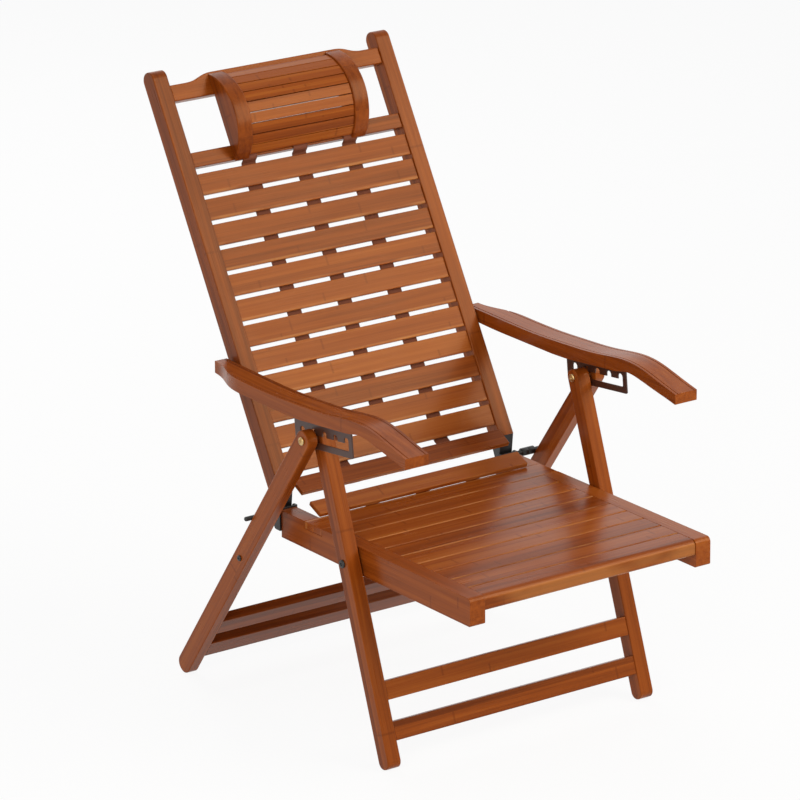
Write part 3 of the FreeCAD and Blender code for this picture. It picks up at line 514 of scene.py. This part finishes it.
def turned(profile, centre, mirror):
    """Stations (x, radius, hex share) spun round X; the share bends a ring from circle to hexagon."""
    profile = np.array(profile, float)
    angle = np.linspace(0, 2 * pi, RING, endpoint=False)
    hexagon = cos(pi / 6) / np.cos((angle % (pi / 3)) - pi / 6)
    radius = profile[:, 1:2] * (1 + profile[:, 2:3] * (hexagon[None, :] - 1))
    points = np.empty((len(profile), RING, 3))
    points[..., 0] = profile[:, 0:1]
    points[..., 1] = centre[0] + radius * np.cos(angle)
    points[..., 2] = centre[1] + radius * np.sin(angle)
    if mirror:
        points[..., 0] *= -1
        points = points[:, ::-1]
    return grid_mesh("turned", points)


def domed_head(x, way, radius, tall, socket):
    """Stations of a round head that ends at x + way * tall, with a hex socket sunk in its top."""
    top = x + way * tall
    dome = [(x, radius * 0.96, 0), (x + way * tall * 0.12, radius, 0), (x + way * tall * 0.45, radius, 0),
            (x + way * tall * 0.75, radius * 0.93, 0), (top - way * tall * 0.05, radius * 0.75, 0),
            (top, radius * 0.58, 0)]
    return dome + [(top - way * 0.0002, socket * 1.04, 1), (top - way * tall * 0.7, socket, 1),
                   (top - way * tall * 0.78, socket * 0.2, 1)]


# %% Make the hardware
def bolt(name, body, centre, stem, inner, outer, material, replaced):
    """A pair of bolts: stem is (x0, x1, radius); a head is (x, radius, tall, socket) or None."""
    rows = domed_head(inner[0], -1, *inner[1:])[::-1] if inner else [(stem[0], stem[2] * 0.8, 0)]
    rows += [(stem[0] + 0.0001, stem[2], 0), (stem[1] - 0.0001, stem[2], 0)]
    rows += domed_head(outer[0], 1, *outer[1:]) if outer else [(stem[1], stem[2] * 0.8, 0)]
    piece = join(name, [turned(rows, centre, False), turned(rows, centre, True)], material)
    sharp = piece.modifiers.new("crisp", "BEVEL")
    sharp.width, sharp.segments, sharp.limit_method, sharp.angle_limit = 0.00015, 1, "ANGLE", radians(50)
    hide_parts(replaced)
    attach(piece, body)


LEG_HINGE = (-0.086530, 0.524)
ARM_HINGE = (0.193404, 0.562)
LOW_HEAD, HIGH_HEAD = (0.007, 0.0031, 0.0028), (0.007, 0.0035, 0.0028)
bolt("leg_hinge_bolts", "leg_hinge", LEG_HINGE, (0.2491, 0.3059, 0.003), (0.2491, *LOW_HEAD),
     (0.3059, *LOW_HEAD), bright_brass, "latch_bolts")
bolt("seat_pivot_bolts_turned", "front_frame", tuple(SEAT_PIVOT[1:]), (0.2146, 0.2755, 0.003),
     (0.2146, *LOW_HEAD), (0.2755, *HIGH_HEAD), black_steel, "seat_pivot_bolts")
bolt("arm_pivot_bolts_turned", "back", ARM_HINGE, (0.2155, 0.2445, 0.003), None, None, bright_brass,
     "arm_pivot_bolts")
SCREW_DOWN, ROD_DOWN, ROD_IN = 0.3196, 0.2359, 0.0213
leg_top = np.array((0.0, *LEG_HINGE))
stop_at = leg_top - SCREW_DOWN * np.array(REAR_LEG[1])
bolt("leg_screws", "rear_frame", (stop_at[1], stop_at[2]), (0.2855, 0.3055, 0.0029), None,
     (0.3055, 0.005, 0.0034, 0.0018), black_steel, "stop_screws")
rod_at = leg_top - ROD_DOWN * np.array(REAR_LEG[1]) + ROD_IN * np.array(REAR_LEG[0])
# the rod as (x, radius): its inner end, the bush with a groove round it, its outer end
rod_rows = [(x, radius, 0) for x, radius in (
    (0.248, 0.0036), (0.2482, 0.004), (0.2581, 0.004), (0.2581, 0.0064), (0.2588, 0.007), (0.2705, 0.007),
    (0.2710, 0.0066), (0.2715, 0.007), (0.2844, 0.007), (0.2851, 0.0064), (0.2851, 0.004),
    (0.3125, 0.004), (0.3145, 0.0036), (0.3155, 0.0024))]
rod_pair = [turned(rod_rows, rod_at[1:], mirror) for mirror in (False, True)]
rods = join("seat_rest_rods", rod_pair, black_steel)
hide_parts("rest_rods")
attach(rods, "seat")
print("turned pieces: 5 kinds, rod at", rod_at.round(4))

# %% [markdown]
# ## The studio
# A pale floor that shades into a white surround, one broad soft lamp as the key, a second to fill the
# far side, a third behind to trace the edges, and an even sky. The surround is white to the camera and
# in reflections only, so that it does not flood the chair with light.

# %% Floor, sky and lamps
def seen_directly(f):
    """1 for camera, glossy and transmission rays."""
    path = f.tree.nodes.new("ShaderNodeLightPath")
    rays = ("Is Camera Ray", "Is Glossy Ray", "Is Transmission Ray")
    camera_ray, glossy, transmission = (Value(f, path.outputs[ray]) for ray in rays)
    return camera_ray.biggest(glossy).biggest(transmission)


WHITE = (1.0, 1.0, 1.0, 1.0)
FLOOR_SHADE, FLOOR_REACH, FLOOR_AT = 0.09, 30, -0.0005
floor_finish = Finish("studio_floor")
shadowed = floor_finish.add("ShaderNodeBsdfDiffuse", None, {"Color": (0.9, 0.9, 0.9, 1.0)})
glow = floor_finish.add("ShaderNodeEmission", None, {"Color": WHITE, "Strength": 1.0})
seen = floor_finish.add("ShaderNodeMixShader", None, {0: FLOOR_SHADE, 1: glow, 2: shadowed})
whole = floor_finish.add("ShaderNodeMixShader", None,
                         {0: seen_directly(floor_finish), 1: shadowed, 2: seen})
floor_finish.give(floor_finish.tree.nodes["Material Output"], "Surface", whole)
corners = [(x * FLOOR_REACH, y * FLOOR_REACH, FLOOR_AT) for x, y in ((-1, -1), (1, -1), (1, 1), (-1, 1))]
floor_mesh = bpy.data.meshes.new("floor")
floor_mesh.from_pydata(corners, [], [(0, 1, 2, 3)])
floor = bpy.data.objects.new("floor", floor_mesh)
bpy.context.scene.collection.objects.link(floor)
wear(floor, floor_finish.material)

world = bpy.data.worlds.new("surround")
bpy.context.scene.world = world
world.use_nodes = True
SKY, SKY_STRENGTH = (0.93, 0.96, 1.0, 1.0), 0.36
sky = Finish(tree=world.node_tree)
plain = sky.tree.nodes["Background"]
seen_sky = sky.add("ShaderNodeBackground", None, {"Color": WHITE, "Strength": 1.0})
sky.give(plain, "Color", SKY)
sky.give(plain, "Strength", SKY_STRENGTH)
mixed = sky.add("ShaderNodeMixShader", None,
                {0: seen_directly(sky), 1: Value(sky, plain.outputs[0]), 2: seen_sky})
sky.give(sky.tree.nodes["World Output"], "Surface", mixed)


def soft_lamp(name, place, aim, size, power, colour=(1.0, 1.0, 1.0)):
    """A square area lamp at a place, turned to its aim."""
    lamp = bpy.data.lights.new(name, "AREA")
    lamp.shape, lamp.size, lamp.energy, lamp.color = "SQUARE", size, power, colour
    holder = bpy.data.objects.new(name, lamp)
    holder.location = place
    holder.rotation_euler = (Vector(aim) - Vector(place)).to_track_quat("-Z", "Y").to_euler()
    bpy.context.scene.collection.objects.link(holder)


SEAT_HIGH, CHAIR_MIDDLE = (0.0, 0.0, 0.5), (0.0, 0.0, 0.6)
soft_lamp("key", (2.3, -2.9, 2.9), SEAT_HIGH, 2.7, 108.0, (1.0, 0.94, 0.84))
soft_lamp("fill", (-3.3, -2.4, 2.6), SEAT_HIGH, 2.2, 75.0, (1.0, 0.93, 0.82))
soft_lamp("rim", (0.6, 3.6, 3.0), CHAIR_MIDDLE, 2.2, 60.0)
bpy.context.scene.view_settings.view_transform = "Standard"
print("studio ready")

# %% [markdown]
# ## Finish
# The last cell brings the scene up to date and hands it over.

# %% Update the scene and finish
bpy.context.view_layer.update()
